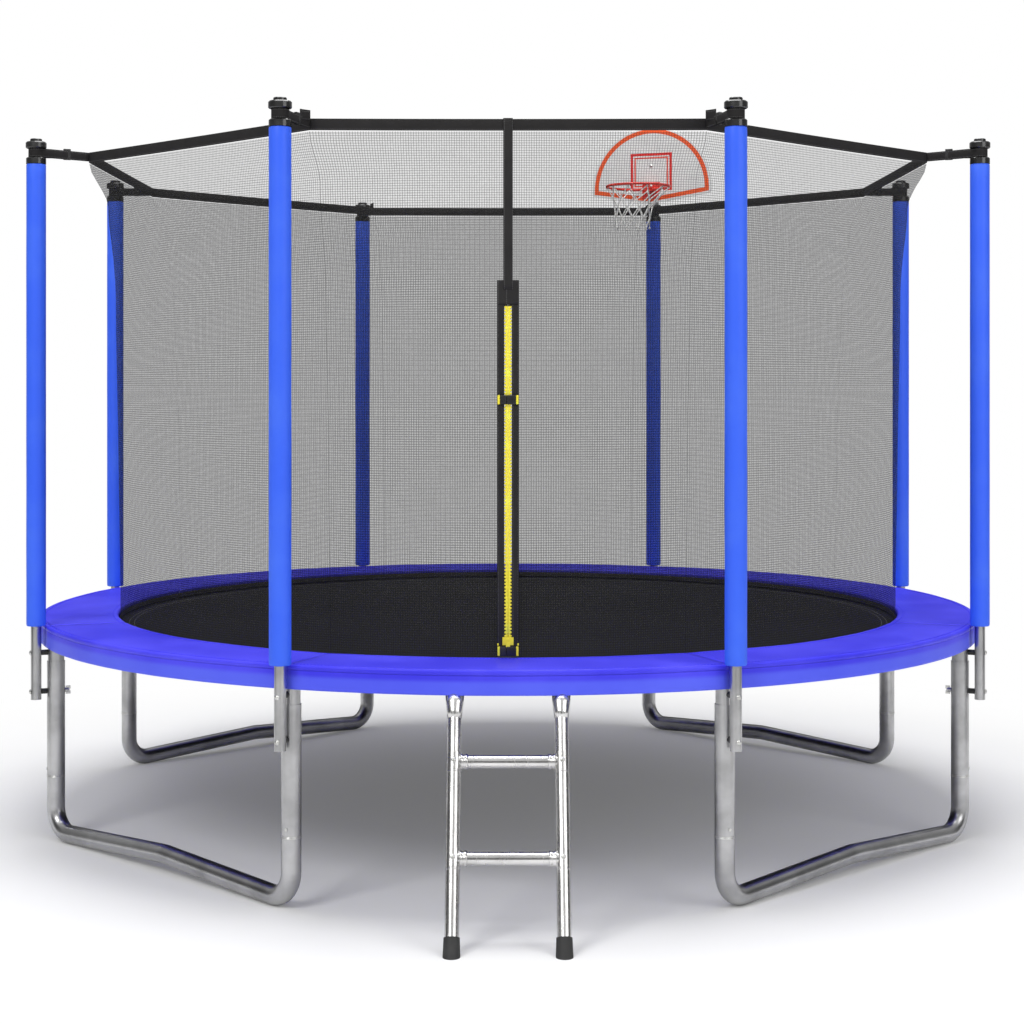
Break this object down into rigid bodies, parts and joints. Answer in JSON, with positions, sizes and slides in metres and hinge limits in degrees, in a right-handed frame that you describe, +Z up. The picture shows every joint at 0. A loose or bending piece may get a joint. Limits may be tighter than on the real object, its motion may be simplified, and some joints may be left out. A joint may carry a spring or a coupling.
{
  "type": "trampoline",
  "caption": "Round enclosed backyard trampoline with a sprung mat, padded edge, zipped safety net on padded poles, hook-on ladder and a small basketball hoop.",
  "frame": {"origin": "on the ground, under the centre of the jumping mat", "axes": "+Z up along the mat's axis, -Y towards the zipped door and the ladder, +X to the right of someone facing the door"},
  "size_m": [3.676, 4.0405, 2.9409],
  "materials": {
    "galvanised_steel": "galvanised tube, bright, slightly mottled",
    "ladder_steel": "bright galvanised tube",
    "zinc_hardware": "zinc plated",
    "spring_steel": "galvanised spring wire",
    "blue_foam": "closed foam in a smooth blue skin",
    "blue_vinyl": "blue coated vinyl over foam",
    "black_plastic": "black moulded plastic",
    "black_rubber": "black rubber",
    "black_webbing": "woven black webbing",
    "mat_fabric": "tightly woven black mat cloth",
    "net_mesh": "open black mesh",
    "yellow_plastic": "yellow moulded plastic",
    "hoop_board": "white board with an orange border",
    "hoop_red": "red painted steel",
    "hoop_cord": "white knotted cord"
  },
  "bodies": {
    "frame": {"corner_straps": "black_webbing", "door_band": "black_webbing", "foam_sleeves": "blue_foam", "hoop_board": "hoop_board", "hoop_bracket": "hoop_red", "hoop_clamps": "black_plastic", "hoop_net": "hoop_cord", "hoop_post": "galvanised_steel", "hoop_ring": "hoop_red", "hoop_screws": "zinc_hardware", "leg_bases": "galvanised_steel", "leg_uprights": "galvanised_steel", "mat_edge_webbing": "black_webbing", "net_front_panel": "net_mesh", "net_panels": "net_mesh", "net_top_band": "black_webbing", "pad_front_skirt": "blue_vinyl", "pad_sections": "blue_vinyl", "pad_skirts": "blue_vinyl", "pole_bolts": "zinc_hardware", "pole_caps": "black_plastic", "pole_spacers": "black_plastic", "poles_lower": "galvanised_steel", "poles_upper": "galvanised_steel", "rail_segments": "galvanised_steel", "snap_pins": "zinc_hardware", "springs": "spring_steel", "strap_adjusters": "black_plastic", "strap_tails": "black_webbing", "t_joints": "galvanised_steel", "v_rings": "zinc_hardware", "wing_nuts": "zinc_hardware"},
    "mat": {"jumping_mat": "mat_fabric"},
    "door_left": {"door_flap_left": "net_mesh", "door_strip_left": "black_webbing", "zip_teeth_left": "yellow_plastic", "zip_stop_left": "yellow_plastic"},
    "door_right": {"door_flap_right": "net_mesh", "door_strip_right": "black_webbing", "zip_teeth_right": "yellow_plastic", "zip_stop_right": "yellow_plastic", "upper_clasp_female": "black_plastic", "lower_clasp_female": "black_plastic", "upper_clasp_tab_right": "yellow_plastic", "lower_clasp_tab_right": "yellow_plastic"},
    "zip_slider": {"zip_slider": "yellow_plastic"},
    "upper_clasp": {"upper_clasp_male": "black_plastic", "upper_clasp_tab_left": "yellow_plastic"},
    "lower_clasp": {"lower_clasp_male": "black_plastic", "lower_clasp_tab_left": "yellow_plastic"},
    "ladder": {"ladder_hooks": "ladder_steel", "ladder_rails_upper": "ladder_steel", "ladder_rails_middle": "ladder_steel", "ladder_rails_lower": "ladder_steel", "ladder_rungs": "ladder_steel", "ladder_bolts": "zinc_hardware", "ladder_feet": "black_rubber"}
  },
  "joints": [
    {"name": "mat_bounce", "type": "slide", "parent": "frame", "child": "mat", "axis": [0, 0, 1], "range_m": [-0.35, 0], "stiffness_N_per_m": 3000, "springref_m": 0.05},
    {"name": "door_left_swing", "type": "hinge", "parent": "frame", "child": "door_left", "pos_m": [0, -1.548, 1.96], "axis": [0, 1, 0], "range_deg": [0, 13]},
    {"name": "door_right_swing", "type": "hinge", "parent": "frame", "child": "door_right", "pos_m": [0, -1.548, 1.96], "axis": [0, -1, 0], "range_deg": [0, 13]},
    {"name": "zip_slide", "type": "slide", "parent": "frame", "child": "zip_slider", "axis": [0, 0, 1], "range_m": [0, 1.0701]},
    {"name": "upper_clasp_pull", "type": "slide", "parent": "door_left", "child": "upper_clasp", "axis": [-1, 0, 0], "range_m": [0, 0.03]},
    {"name": "lower_clasp_pull", "type": "slide", "parent": "door_left", "child": "lower_clasp", "axis": [-1, 0, 0], "range_m": [0, 0.03]},
    {"name": "ladder_swing", "type": "hinge", "parent": "frame", "child": "ladder", "pos_m": [0, -1.79242, 0.74], "axis": [-1, 0, 0], "range_deg": [0, 50], "deforming": ["pad_front_skirt"]}
  ],
  "couplings": [
    {"joint": "door_right_swing", "follows": "door_left_swing", "ratio": 1},
    {"joint": "zip_slide", "follows": "door_left_swing", "m_per_rad": 4.7159}
  ]
}
